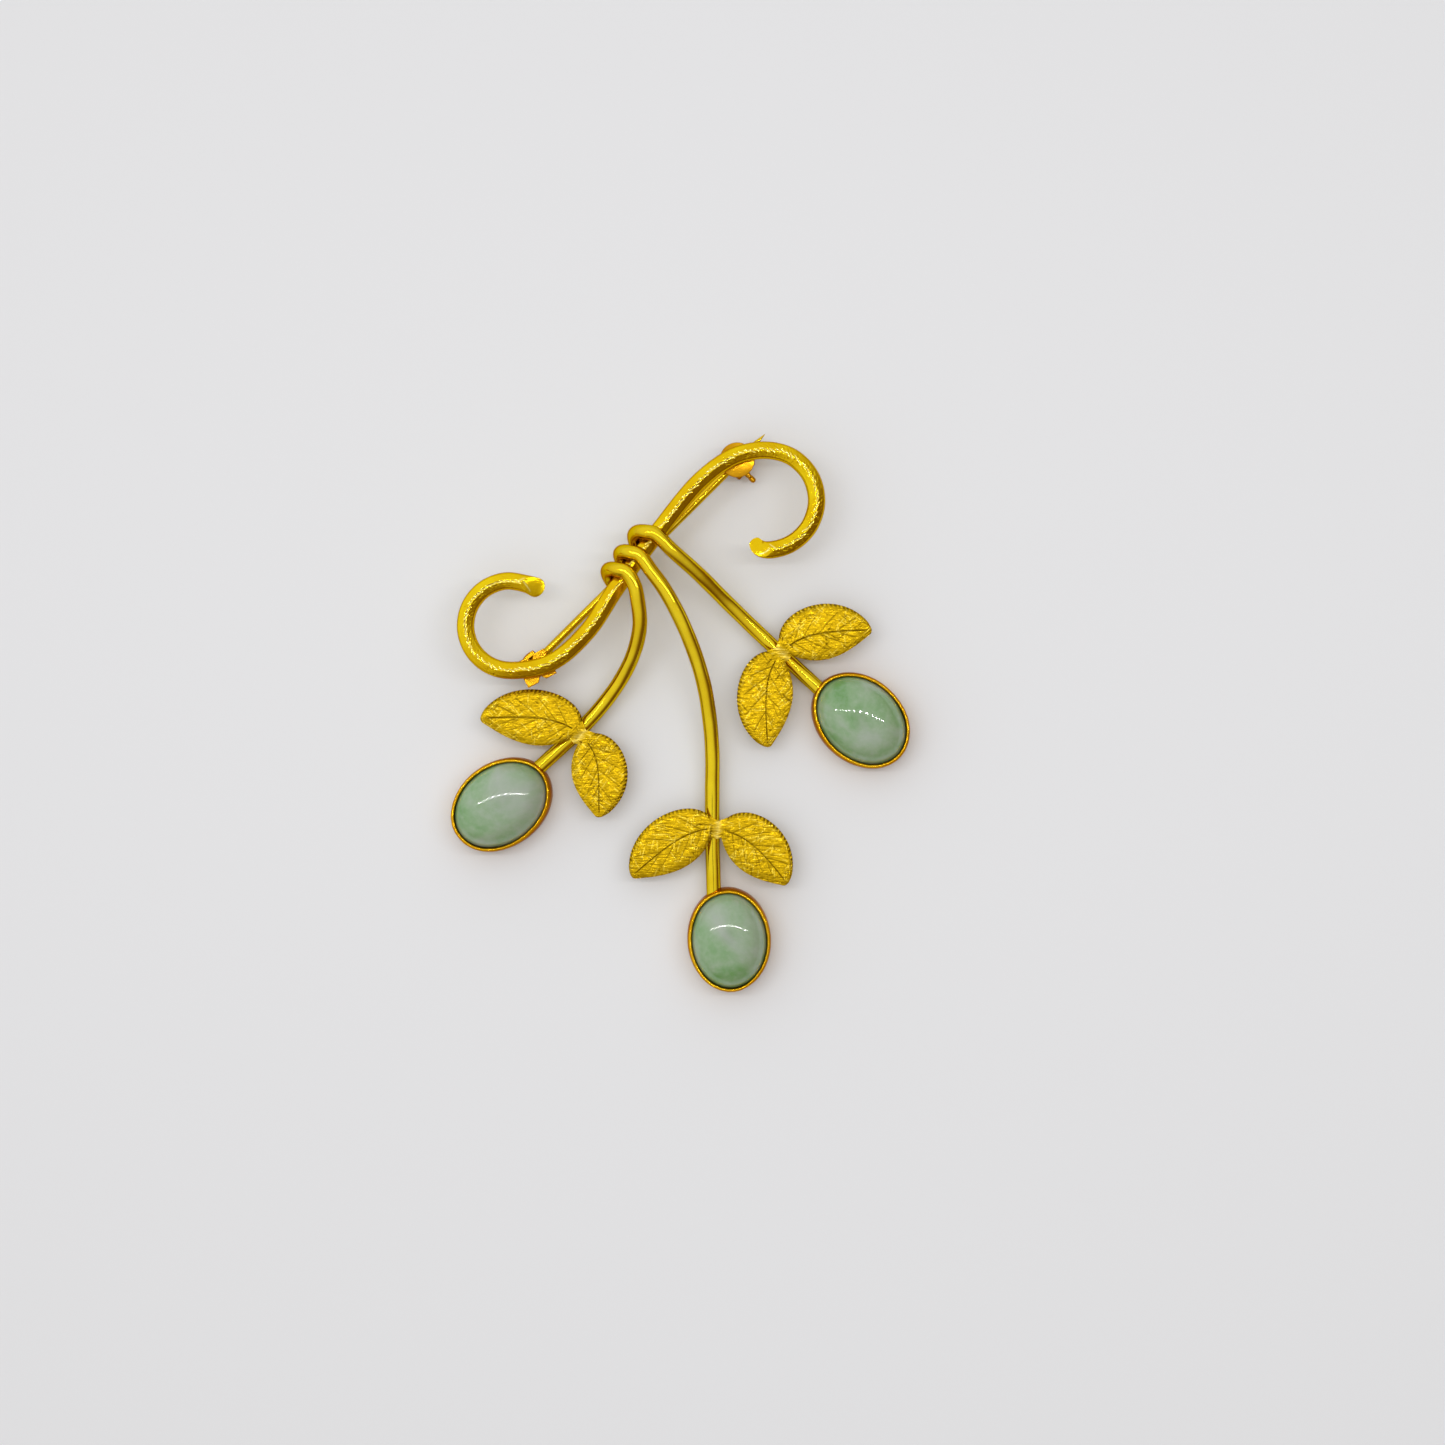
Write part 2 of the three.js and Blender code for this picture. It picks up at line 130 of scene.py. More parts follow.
def studio_sky():
    """A white tent all round: brightest overhead and to the upper left, dusky only near the table."""
    world = bpy.data.worlds.new("studio")
    bpy.context.scene.world = world
    world.use_nodes = True
    tree = world.node_tree
    place = node(tree, "TexCoord").outputs["Generated"]
    toward = node(tree, "VectorMath", [(place, 0)], operation="DOT_PRODUCT")
    toward.inputs[1].default_value = Vector((-0.42, 0.36, 0.83)).normalized()
    ramp = node(tree, "ValToRGB", [(toward.outputs["Value"], "Fac")])
    stops = (
        (0.0, (0.2, 0.12, 0.06)),
        (0.16, (0.46, 0.38, 0.3)),
        (0.42, (0.82, 0.8, 0.79)),
        (0.8, (1.0, 1.0, 1.0)),
    )
    elements = ramp.color_ramp.elements
    while len(elements) < len(stops):
        elements.new(0.5)
    for element, (at, colour) in zip(elements, stops):
        element.position = at
        element.color = (*colour, 1)
    back = tree.nodes["Background"]
    tree.links.new(ramp.outputs["Color"], back.inputs["Color"])
    # Straight overhead hangs something dark and small, which polished gold shows as thin lines
    overhead = node(tree, "VectorMath", [(place, 0)], operation="DOT_PRODUCT")
    overhead.inputs[1].default_value = (0, 0, 1)
    shade = node(tree, "MapRange", [(overhead.outputs["Value"], "Value")], From_Min=0.988, From_Max=0.994)
    shade.inputs["To Min"].default_value = 0.95
    shade.inputs["To Max"].default_value = 0.4
    tree.links.new(shade.outputs["Result"], back.inputs["Strength"])


table_top()
studio_sky()
softbox = lamp("softbox", place=(-120, 140, 560), size=(300, 300), power=0.18)
softbox.visible_glossy = False
DOTS = 15
DOT_ROW = 400
DOT_ROW_MIDDLE = (4, 36, 262)
DOT_SIZE = (7, 7)
DOT_POWER = 0.012
for dot in range(DOTS):
    across = (dot / (DOTS - 1) - 0.5) * DOT_ROW
    place = (across + DOT_ROW_MIDDLE[0], *DOT_ROW_MIDDLE[1:])
    lamp(f"dot_lamp_{dot}", place, DOT_SIZE, DOT_POWER, aim=(across * 0.3, 0, 0))


# The curled bar: 1.74 mm yellow gold, rolled to a low roof section and bent into a long S with
# a curl at each end. Its ridge is cut with slanted strokes of a polished graver, which carry a painted
# highlight in a pale colour, and its tips are filed.
BAR_R = 0.87
ROOF_PEAK = 0.92
ROOF_SLOPE = math.radians(31)
LEFT_CURL_R = 4.45
LEFT_CURL_FOOT = (-16.93, 4.23)
RIGHT_CURL_R = 4.95
RIGHT_CURL_CROWN = (8.55, 26.1)
BAR_PACE = 0.05
TIP_SLANT = math.radians(24)
TIP_RISE = 0.6
bar_lo, bar_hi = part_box("scroll_bar")
bar_z = (bar_lo.z + bar_hi.z) / 2 / MM


def polar(angle, radius, centre=(0, 0)):
    turn = math.radians(angle)
    return centre[0] + radius * math.cos(turn), centre[1] + radius * math.sin(turn)


def curl_points(centre, radius, start, end):
    """Points every 30 degrees or so round a curl."""
    steps = round(abs(end - start) / 30)
    return [polar(start + (end - start) * i / steps, radius, centre) for i in range(steps + 1)]


def smooth_route(points, pace):
    """Corners every pace millimetres on the centripetal curve through the points."""
    p = np.array(points, float)
    p = np.vstack([2 * p[0] - p[1], p, 2 * p[-1] - p[-2]])
    t = np.linspace(0, 1, 48, endpoint=False)[:, None]
    fine = []
    for a, b, c, d in zip(p, p[1:], p[2:], p[3:]):
        before, here, after = (np.linalg.norm(y - x) ** 0.5 for x, y in ((a, b), (b, c), (c, d)))
        leave = ((b - a) / before - (c - a) / (before + here) + (c - b) / here) * here
        arrive = ((c - b) / here - (d - b) / (here + after) + (d - c) / after) * here
        square = 3 * (c - b) - 2 * leave - arrive
        cube = 2 * (b - c) + leave + arrive
        fine.append(b + leave * t + square * t**2 + cube * t**3)
    fine = np.vstack([*fine, p[-2]])
    run = np.concatenate([[0], np.cumsum(np.linalg.norm(np.diff(fine, axis=0), axis=1))])
    even = np.linspace(0, run[-1], round(run[-1] / pace) + 1)
    return np.column_stack([np.interp(even, run, fine[:, k]) for k in range(3)]), even


def directions(route):
    ahead = np.gradient(route, axis=0)
    return ahead / np.linalg.norm(ahead, axis=1)[:, None]


def shell(rings, loop=False):
    """Corners and faces over rings of corners, capped at both ends unless they close on themselves."""
    count, sides, _ = rings.shape
    here = np.arange(count * sides).reshape(count, sides)
    beside = np.roll(here, -1, axis=1)
    rows = count if loop else count - 1
    quads = np.stack([here, beside, np.roll(beside, -1, axis=0), np.roll(here, -1, axis=0)], axis=-1)
    faces = quads[:rows].reshape(-1, 4).tolist()
    if not loop:
        faces += [here[0].tolist(), here[-1].tolist()]
    return rings.reshape(-1, 3), faces


def skin(name, rings, loop=False, crease=35):
    return solid(name, *shell(rings, loop), crease)


def solid(name, corners, faces, crease=35):
    """A smooth-shaded object from corners in millimetres, with its faces turned outwards."""
    mesh = bpy.data.meshes.new(name)
    mesh.from_pydata((np.asarray(corners) * MM).tolist(), [], faces)
    work = bmesh.new()
    work.from_mesh(mesh)
    bmesh.ops.recalc_face_normals(work, faces=work.faces)
    work.to_mesh(mesh)
    work.free()
    mesh.shade_smooth()
    mesh.set_sharp_from_angle(angle=math.radians(crease))
    made = bpy.data.objects.new(name, mesh)
    bpy.context.collection.objects.link(made)
    return made


def engrave(height, x, y, stroke):
    """Lowers a height map along one groove, which is deepest at its middle and tapers out."""
    at_x, at_y, angle, length, width, depth = stroke
    reach = length / 2 + width
    near = (np.abs(x - at_x) < reach) & (np.abs(y - at_y) < reach)
    dx, dy = x[near] - at_x, y[near] - at_y
    along = dx * math.cos(angle) + dy * math.sin(angle)
    off = dy * math.cos(angle) - dx * math.sin(angle)
    taper = np.clip(1 - (2 * along / length) ** 2, 0, 1) ** 0.5
    height[near] -= depth * taper * np.clip(1 - 2 * np.abs(off) / width, 0, 1)


def bar_route():
    left = (LEFT_CURL_FOOT[0], LEFT_CURL_FOOT[1] + LEFT_CURL_R)
    right = (RIGHT_CURL_CROWN[0], RIGHT_CURL_CROWN[1] - RIGHT_CURL_R)
    middle = [(-12.86, 5.03), (-9.33, 8.04), (-6.24, 12.65)]
    middle += [(-2.2, 18.07), (2.01, 23.15), (5.39, 25.51)]
    flat = [polar(47, LEFT_CURL_R + 0.5, left), *curl_points(left, LEFT_CURL_R, 68, 270), *middle]
    flat += [*curl_points(right, RIGHT_CURL_R, 90, -95), polar(-112, RIGHT_CURL_R - 0.45, right)]
    return smooth_route([(x, y, bar_z) for x, y in flat], BAR_PACE)


bar_line, bar_run = bar_route()
bar_ahead = directions(bar_line)
bar_length = bar_run[-1]


def bar_strokes(chance):
    """The ridge's chain of slanted graver cuts, marked for a painted highlight, and finer ticks on the rest
    of the face.

    A stroke is its place along and across the bar, its angle, length, width and depth.
    """
    ridge, ticks = [], []
    at = 2.7
    while at < bar_length - 3:
        angle = math.radians(24 + chance.normal() * 7)
        ridge.append((at, chance.normal() * 0.07, angle, 0.5 + chance.random() * 0.3, 0.2, 0.07))
        at += 0.4 + chance.random() * 0.2
    for tip, way in ((2.1, 1), (bar_length - 2.2, -1)):
        ridge.append((tip - 0.4 * way, -0.25, way * 0.75, 1.3, 0.22, 0.05))
        ridge.append((tip + 0.35 * way, 0.25, -way * 0.85, 1.1, 0.22, 0.05))
    for start, end, count in ((2.5, 24, 210), (48, bar_length - 2.2, 330)):
        for _ in range(count):
            place = start + (end - start) * chance.random()
            angle = math.radians(60 + chance.normal() * 22)
            ticks.append((place, chance.normal() * 0.42, angle, 0.36, 0.1, 0.028))
    return ridge, ticks


def curled_bar():
    fine = np.radians(np.linspace(-46, 46, 49))
    coarse = np.radians(np.linspace(50, 310, 40))
    angles = np.concatenate([fine, coarse])
    across = np.sin(angles)
    up = np.cos(angles)
    roof = ROOF_PEAK * math.cos(ROOF_SLOPE) / np.cos(np.abs(np.arctan2(across, up)) - ROOF_SLOPE)
    radius = np.where(up > 0, np.minimum(np.where(roof > 0, roof, 9), BAR_R), BAR_R)
    peak = np.abs(angles) < math.radians(9)
    radius[peak] -= 0.03 * np.cos(angles[peak] / math.radians(9) * math.pi / 2)
    s, w = np.meshgrid(bar_run, angles * BAR_R, indexing="ij")
    height = np.broadcast_to(radius, s.shape).copy()
    painted_highlight = np.zeros_like(height)
    ridge, ticks = bar_strokes(np.random.default_rng(7))
    for stroke in ridge + ticks:
        engrave(height, s, w, stroke)
    # Painted highlight: the ridge's cuts, the tips' V cuts among them, are marked so the gold material lays
    # a pale colour on them.
    for stroke in ridge:
        engrave(painted_highlight, s, w, (*stroke[:5], -1.6))
    side = height * across
    rise = height * up
    # Each tip is filed to a long slanted face; one end is spread round, the other runs to a beak
    from_tip = np.minimum(s, bar_length - s)
    filed = TIP_RISE - BAR_R + from_tip * math.tan(TIP_SLANT) - 0.1 * side**2
    rise = np.minimum(rise, filed)
    first = s < bar_length / 2
    inner = np.where(first, side < 0, side > 0)
    reach = np.where(first, 0.75, np.where(inner, 0.5, 2.6))
    rounding = np.sqrt(np.clip(1 - (1 - np.minimum(from_tip / reach, 1)) ** 2, 0.0004, 1))
    bulge = 1 + np.where(first & inner, 0.24, 0.03) * np.exp(-(((from_tip - 0.9) / 0.7) ** 2))
    side *= rounding * bulge
    rise = rise * (0.5 + 0.5 * rounding)
    left = np.cross(bar_ahead, (0, 0, 1))
    rings = bar_line[:, None] + side[..., None] * left[:, None] + rise[..., None] * np.array((0, 0, 1.0))
    made = skin("curled_bar", rings, crease=50)
    layer = made.data.attributes.new("painted_highlight", "FLOAT", "POINT")
    layer.data.foreach_set("value", np.clip(painted_highlight, 0, 1).ravel().astype(np.float32))
    return made


def gold(name, colour, deep, roughness, grain, grain_size):
    """Polished gold: two tones that drift over a few millimetres, a pale painted highlight where the piece
    marks one, soft wear and fine handling marks.
    """
    material = bpy.data.materials.new(name)
    tree, surface = shader_nodes(material)
    place = node(tree, "TexCoord").outputs["Object"]
    drift = node(tree, "TexNoise", [(place, "Vector")], Scale=260.0, Detail=3.0, Roughness=0.55)
    tone = node(tree, "MapRange", [(drift.outputs["Fac"], "Value")], From_Min=0.35, From_Max=0.68)
    mix = node(tree, "Mix", [(tone.outputs["Result"], "Factor")], data_type="RGBA")
    mix.inputs["A"].default_value = (*deep, 1)
    mix.inputs["B"].default_value = (*colour, 1)
    # Painted highlight: a pale gold laid over the colour wherever the piece's attribute marks it.
    painted_highlight = node(tree, "Attribute", attribute_name="painted_highlight")
    with_painted_highlight = overlay(tree, painted_highlight.outputs["Fac"], mix.outputs["Result"], (1.0, 0.84, 0.22))
    tree.links.new(with_painted_highlight, surface.inputs["Base Color"])
    marks = node(tree, "TexNoise", [(place, "Vector")], Scale=grain_size, Detail=6.0, Roughness=0.7)
    gloss = node(tree, "MapRange", [(marks.outputs["Fac"], "Value")], From_Min=0.3, From_Max=0.7)
    gloss.inputs["To Min"].default_value = roughness * 0.6
    gloss.inputs["To Max"].default_value = roughness * 1.5
    tree.links.new(gloss.outputs["Result"], surface.inputs["Roughness"])
    bump = node(tree, "Bump", [(marks.outputs["Fac"], "Height")], Strength=grain, Distance=0.00004)
    tree.links.new(bump.outputs["Normal"], surface.inputs["Normal"])
    surface.inputs["Metallic"].default_value = 1.0
    surface.inputs["Specular Tint"].default_value = (0.5, 0.24, 0.04, 1)
    return material


bar_gold = gold("engraved_gold", (0.88, 0.64, 0.008), (0.78, 0.49, 0.004), 0.13, 0.3, 5200.0)
bar = curled_bar()
bar.data.materials.append(bar_gold)
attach(bar, "spray")
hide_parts("scroll_bar")


# Three stems of 1.5 mm round gold wire. Each is wrapped once round the bar, soldered under it,
# and runs down in an easy bend to the wall of its stone's cup, where its end is filed to fit.
STEM_R = 0.75
STEM_DRAWN = 0.978
STEM_PACE = 0.08
STEM_END_RISE = 1.6
STEM_BITE = 0.12
SEAM = 0.05
WALL = 0.33
WRAP_R = BAR_R + SEAM + STEM_R
WRAP_SWEEP = 185
BRIDGE_HALF = 0.9
STEMS = {
    "left": dict(
        station=33.4, lead=0.9, heading=245.4, reach=21.2, stone=(10.2, 7.8), cup_turn=-4.8,
        route=(
            (0.04, 1.25), (0.1, 2.2), (0.2, 3.36), (0.34, 3.9),
            (0.49, 3.68), (0.65, 2.9), (0.8, 1.79), (0.9, 0.9),
        ),
        leaves=dict(back=5, aside=0.5, turn=2, lengths={-1: 10.3, 1: 8.5}, veins=31),
    ),
    "middle": dict(
        station=35.5, lead=0.9, heading=-77.6, reach=34.3, stone=(9.7, 7.7), cup_turn=2.5,
        route=(
            (0.05, 0.8), (0.11, 1.7), (0.2, 2.61), (0.3, 3.24), (0.4, 3.5),
            (0.5, 3.33), (0.6, 2.86), (0.72, 1.95), (0.84, 1.06),
        ),
        leaves=dict(back=6.2, aside=0.55, turn=-5.3, lengths={-1: 10, 1: 9}, veins=32),
    ),
    "right": dict(
        station=38.1, lead=1.15, heading=-42.9, reach=22.15, stone=(10.2, 7.8), cup_turn=-0.2,
        route=((0.1, -0.02), (0.26, 0.09), (0.45, 0.02), (0.65, -0.03), (0.85, -0.01)),
        leaves=dict(back=4.9, aside=0.09, turn=0.3, lengths={-1: 9.7, 1: 9.4}, veins=33),
    ),
}


def wrap_point(stem, turn):
    """A point on the wrap's helix, turn degrees past the top of the bar."""
    station = stem["station"] + stem["lead"] * turn / 90
    place, ahead = (
        np.array([np.interp(station, bar_run, row[:, k]) for k in range(3)])
        for row in (bar_line, bar_ahead)
    )
    left = np.cross(ahead, (0, 0, 1))
    angle = math.radians(turn)
    return place + WRAP_R * (math.sin(angle) * left + math.cos(angle) * np.array((0, 0, 1)))


def stem_route(stem):
    """The stem's centre line, run on past its end, with the end's place and heading."""
    ahead = np.array((*polar(stem["heading"], 1), 0))
    aside = np.array((*polar(stem["heading"] + 90, 1), 0))
    start = wrap_point(stem, 0)
    level = 1 - (stem["leaves"]["back"] + 3 * BRIDGE_HALF) / stem["reach"]

    def at(fraction, side):
        point = start + ahead * stem["reach"] * fraction + aside * side
        t = min(max(fraction / level, 0), 1)
        point[2] = start[2] + (STEM_END_RISE - start[2]) * t * t * (3 - 2 * t)
        return point

    wrap = [wrap_point(stem, WRAP_SWEEP * (i / 6 - 1)) for i in range(7)]
    free = [at(*step) for step in stem["route"]]
    end = at(1, 0)
    heading = (end - free[-1]) * (1, 1, 0)
    heading /= np.linalg.norm(heading)
    line, run = smooth_route([*wrap, *free, end, end + heading * 2 * STEM_R], STEM_PACE)
    return line, run, heading


class Cup:
    """The oval of a stone's cup: its middle, half length, half width and turn."""

    def __init__(self, name, heading):
        lo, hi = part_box(f"bezel_back_{name}")
        self.middle = np.array((lo + hi) / 2) / MM
        self.turn = math.atan2(heading[1], heading[0]) + math.radians(STEMS[name]["cup_turn"])
        self.long, self.short = (size / 2 + SEAM + WALL for size in STEMS[name]["stone"])

    def place(self, along, aside, height):
        """Corners given along the oval's long axis, across it and up."""
        c, s = math.cos(self.turn), math.sin(self.turn)
        x = self.middle[0] + along * c - aside * s
        y = self.middle[1] + along * s + aside * c
        return np.stack(np.broadcast_arrays(x, y, height), axis=-1)


def round_frames(route):
    """Across and up directions that follow a route without twisting."""
    ahead = directions(route)
    across = np.empty_like(route)
    side = np.cross(ahead[0], (0.3, 0.2, 1.0))
    for i, forward in enumerate(ahead):
        side = side - forward * side.dot(forward)
        side /= np.linalg.norm(side)
        across[i] = side
    return across, np.cross(across, ahead)


def stem_wire(name, line, run, heading, cup):
    """The wire's rings up to its cup. It is drawn a hair under size and waves very slightly."""
    spin = np.linspace(0, 2 * math.pi, 40, endpoint=False)
    across, up = round_frames(line)
    ahead = np.array((math.cos(cup.turn), math.sin(cup.turn)))
    aside = np.array((-ahead[1], ahead[0]))
    flat = line[:, :2] - cup.middle[:2]
    inside = (flat @ ahead / (cup.long + STEM_R)) ** 2 + (flat @ aside / (cup.short + STEM_R)) ** 2
    keep = int(np.argmax(inside < 1))
    gone = run[:keep, None]
    wave = STEM_DRAWN + 0.006 * np.sin(gone * 1.7 + 2 * spin) + 0.004 * np.sin(gone * 0.63)
    radius = (STEM_R * wave)[..., None]
    c, s = np.cos(spin)[None, :, None], np.sin(spin)[None, :, None]
    rings = line[:keep, None] + radius * (c * across[:keep, None] + s * up[:keep, None])
    # The last ring is pushed on along the wire until it sits a little inside the cup's wall
    last = rings[-1].copy()
    rel = last[:, :2] - cup.middle[:2]
    a, b = cup.long - STEM_BITE, cup.short - STEM_BITE
    u, v = rel @ ahead / a, rel @ aside / b
    du, dv = heading[:2] @ ahead / a, heading[:2] @ aside / b
    half = u * du + v * dv
    size = du**2 + dv**2
    go = (-half - np.sqrt(half**2 - size * (u**2 + v**2 - 1))) / size
    last += go[:, None] * heading
    steps = np.linspace(0, 1, 6)[1:, None, None]
    rings = np.concatenate([rings, rings[-1][None] * (1 - steps) + last[None] * steps])
    return skin(f"stem_wire_{name}", rings)


wire_gold = gold("polished_gold", (0.84, 0.64, 0.02), (0.76, 0.52, 0.012), 0.11, 0.1, 2600.0)
stem_lines = {}
cups = {}
for name, stem in STEMS.items():
    line, run, heading = stem_route(stem)
    cups[name] = Cup(name, heading)
    stem_lines[name] = (line, run)
    wire = stem_wire(name, line, run, heading, cups[name])
    wire.data.materials.append(wire_gold)
    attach(wire, "spray")
    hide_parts(f"stem_{name}")


# Leaf pairs, each stamped from one 0.4 mm gold sheet and soldered over its stem by the bridge
# between the leaves. The veins are cut by graver, the face is cross-brushed, the rim is milled.
LEAF_T = 0.4
LEAF_SPREAD = 55.7
LEAF_CROWN = 0.22
LEAF_HOLLOW = 0.6
BRUSHING = ((34, 300), (-52, 300), (78, 110))
VEIN_BED = 0.02
MILL_PITCH = 0.42
MILL_WIDTH = 0.42
MILL_DEPTH = 0.085
SOLDER_RISE = 0.06
leaf_lo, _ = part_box("leaf_pair_middle")
leaf_z = leaf_lo.z / MM


def bezier(p, t):
    a, b, c, d = (np.array(q, float) for q in p)
    t = np.asarray(t)[:, None]
    return a * (1 - t) ** 3 + 3 * b * t * (1 - t) ** 2 + 3 * c * t**2 * (1 - t) + d * t**3


def leaf_edges(length, t):
    """Outer and inner edge of a leaf from base to tip, as distances along its axis and outwards."""
    size = np.array((length, 1))
    outer = bezier(((0, 1.6), (0.1, 4.75), (0.81, 5.2), (1, 0.3)), t) * size
    inner = bezier(((0.09, -0.4), (0.45, -3), (0.82, -0.75), (1, 0)), t) * size
    return outer, inner


def leaf_grid(length):
    """Places in rows across a leaf, base to tip, with their distance from the rim and round it."""
    body = np.linspace(0, 0.93, 150)
    cap = np.linspace(0, 0.5, 10)[1:] ** 0.8
    outer, inner = leaf_edges(length, body)
    a, b = outer[-1], inner[-1]
    corner = np.array((length * 1.005, 0.16))
    tip = (a, a * 0.3 + corner * 0.7, b * 0.3 + corner * 0.7, b)
    outer = np.concatenate([outer, bezier(tip, cap)])
    inner = np.concatenate([inner, bezier(tip, 1 - cap)])
    v = np.linspace(0, 1, 100)[None, :, None]
    flat = outer[:, None] * (1 - v) + inner[:, None] * v
    width = np.linalg.norm(outer - inner, axis=1)[:, None]
    rim = np.minimum(v[..., 0], 1 - v[..., 0]) * width
    near_tip = np.hypot(flat[..., 0] - length, flat[..., 1] - 0.16)
    run = np.concatenate([[0], np.cumsum(np.linalg.norm(np.diff(outer, axis=0), axis=1))])[:, None]
    return flat[..., 0], flat[..., 1], np.minimum(rim, near_tip), run, v[..., 0]


def leaf_veins(length, chance):
    """Graver cuts as lists of corners with a width and depth: a bowed midrib and its side veins."""
    drift = chance.normal(size=12) * 0.12
    foot = np.array((0.9, 0.55 + drift[0]))
    bends = (foot + (0.22 * length, 0.95), (length * 0.62, 0.95 + drift[1]))
    rib = bezier((foot, *bends, (length * 0.97, 0.2)), np.linspace(0, 1, 15))
    veins = [(rib, 0.16, 0.075)]
    # A side vein: the midrib's corner it leaves from, and where it ends along the leaf and outwards
    sides = (
        (1, 0.30, 3.3), (3, 0.52, 3.75), (6, 0.74, 3.2), (9, 0.9, 1.9),
        (1, 0.42, -1.75), (3, 0.6, -1.55), (6, 0.76, -0.95), (9, 0.88, -0.5),
    )
    for k, (start, along, out) in enumerate(sides):
        end = np.array((length * (along + 0.03 * drift[k + 2]), out * 0.97))
        bow = (rib[start] + end) / 2 + np.array((0.12, 0.25 * np.sign(out))) * (1 + drift[k + 3])
        bends = ((rib[start] + 2 * bow) / 3, (end + 2 * bow) / 3)
        path = bezier((rib[start], *bends, end), np.linspace(0, 1, 6))
        veins.append((path, 0.11 if out > 0 else 0.1, 0.06))
    return veins


def carve(height, along, out, path, width, depth):
    """Lowers a height map along a line of corners."""
    for (x0, y0), (x1, y1) in zip(path, path[1:]):
        near = (along > min(x0, x1) - width) & (along < max(x0, x1) + width)
        near &= (out > min(y0, y1) - width) & (out < max(y0, y1) + width)
        run = math.hypot(x1 - x0, y1 - y0)
        dx, dy = (x1 - x0) / run, (y1 - y0) / run
        t = np.clip((along[near] - x0) * dx + (out[near] - y0) * dy, 0, run)
        off = np.hypot(along[near] - x0 - dx * t, out[near] - y0 - dy * t)
        cut = depth * np.clip(1 - 2 * off / width, 0, 1)
        height[near] = np.minimum(height[near], LEAF_CROWN - cut - VEIN_BED)


def leaf_half(side, length, chance):
    """Rows of corners across one leaf, base to tip: place, height, and where it is worn, cut (which the
    material paints with shade), or marked for a painted highlight.
    """
    along, out, rim, run, v = leaf_grid(length)
    height = LEAF_CROWN * (1 - np.clip(1 - rim / 1.1, 0, 1) ** 2)
    plain = height.copy()
    painted_highlight = np.zeros_like(height)
    for angle, count in BRUSHING:
        for k in range(count):
            place = (chance.random() * length, chance.random() * 6.2 - 2.1)
            turn = math.radians(angle + chance.normal() * 8)
            size = 0.7 + chance.random() * 1.5
            engrave(height, along, out, (*place, turn, size, 0.1, 0.012 + 0.022 * chance.random()))
            # Every eighth brush stroke is marked for a painted highlight.
            if k % 8 == 0:
                engrave(painted_highlight, along, out, (*place, turn, size * 0.6, 0.1, -1))
    for path, width, depth in leaf_veins(length, chance):
        carve(height, along, out, path, width, depth)
    nick = 0.5 + 0.5 * np.sin(run * 2 * math.pi / MILL_PITCH + 0.6 * np.sin(run * 1.3))
    span = np.hypot(along[:, -1] - along[:, 0], out[:, -1] - out[:, 0])[:, None]
    milled = np.clip(1 - v * span / MILL_WIDTH, 0, 1)
    height -= MILL_DEPTH * (nick > 0.55) * milled * np.clip((length * 1.25 - run) / 2, 0, 1)
    # How deep each place is cut; the leaf's material paints shade into the cuts by this depth.
    cut = np.clip((plain - height) / 0.07, 0, 1)
    painted_highlight = np.clip(painted_highlight, 0, 1) * (cut < 0.7)
    c, s = math.cos(math.radians(LEAF_SPREAD)), math.sin(math.radians(LEAF_SPREAD))
    x = along * c - out * s
    y = side * (along * s + out * c)
    wear = np.clip(1.2 - np.hypot(x / 1.5, y / 0.9), 0, 1)
    return x, y, height, wear, cut, painted_highlight


def leaf_sheet(name):
    """Two leaves and the bridge between them, laid over the stem a little way short of its cup."""
    line, run = stem_lines[name]
    leaves = STEMS[name]["leaves"]
    at = run[-1] - 2 * STEM_R - leaves["back"]
    middle, ahead = (
        np.array([np.interp(at, run, row[:, k]) for k in range(2)])
        for row in (line, directions(line))
    )
    chance = np.random.default_rng(leaves["veins"])
    right, left = (leaf_half(side, leaves["lengths"][side], chance) for side in (-1, 1))
    columns = right[0].shape[1]
    blank = np.zeros(columns)
    ridge = np.linspace(-BRIDGE_HALF, BRIDGE_HALF, columns)
    axis = (ridge, blank, blank + SOLDER_RISE, blank + 1, blank, blank)
    spread = np.linspace(0, 1, 13)[1:-1, None]
    parts = []
    for k in range(len(axis)):
        toward = right[k][0] * (1 - spread) + axis[k] * spread
        away = axis[k] * (1 - spread) + left[k][0] * spread
        parts.append(np.concatenate([right[k][::-1], toward, axis[k][None], away, left[k]]))
    x, y, height, wear, cut, painted_highlight = parts
    c, s = polar(leaves["turn"], 1)
    x, y = x * c - y * s, x * s + y * c + leaves["aside"]
    level_x = middle[0] + x * ahead[0] - y * ahead[1]
    level_y = middle[1] + x * ahead[1] + y * ahead[0]
    top = np.stack([level_x, level_y, leaf_z + LEAF_T + height], axis=-1)
    under = top.copy()
    under[..., 2] = leaf_z + LEAF_HOLLOW * np.clip(height, 0, LEAF_CROWN)
    rings = np.concatenate([top, under[:, ::-1]], axis=1)
    sheet = skin(f"leaf_sheet_{name}", rings, crease=60)
    for kind, share in (("worn", wear), ("cut", cut), ("painted_highlight", painted_highlight)):
        layer = sheet.data.attributes.new(kind, "FLOAT", "POINT")
        values = np.concatenate([share, np.zeros_like(share)], axis=1)
        layer.data.foreach_set("value", values.ravel().astype(np.float32))
    return sheet


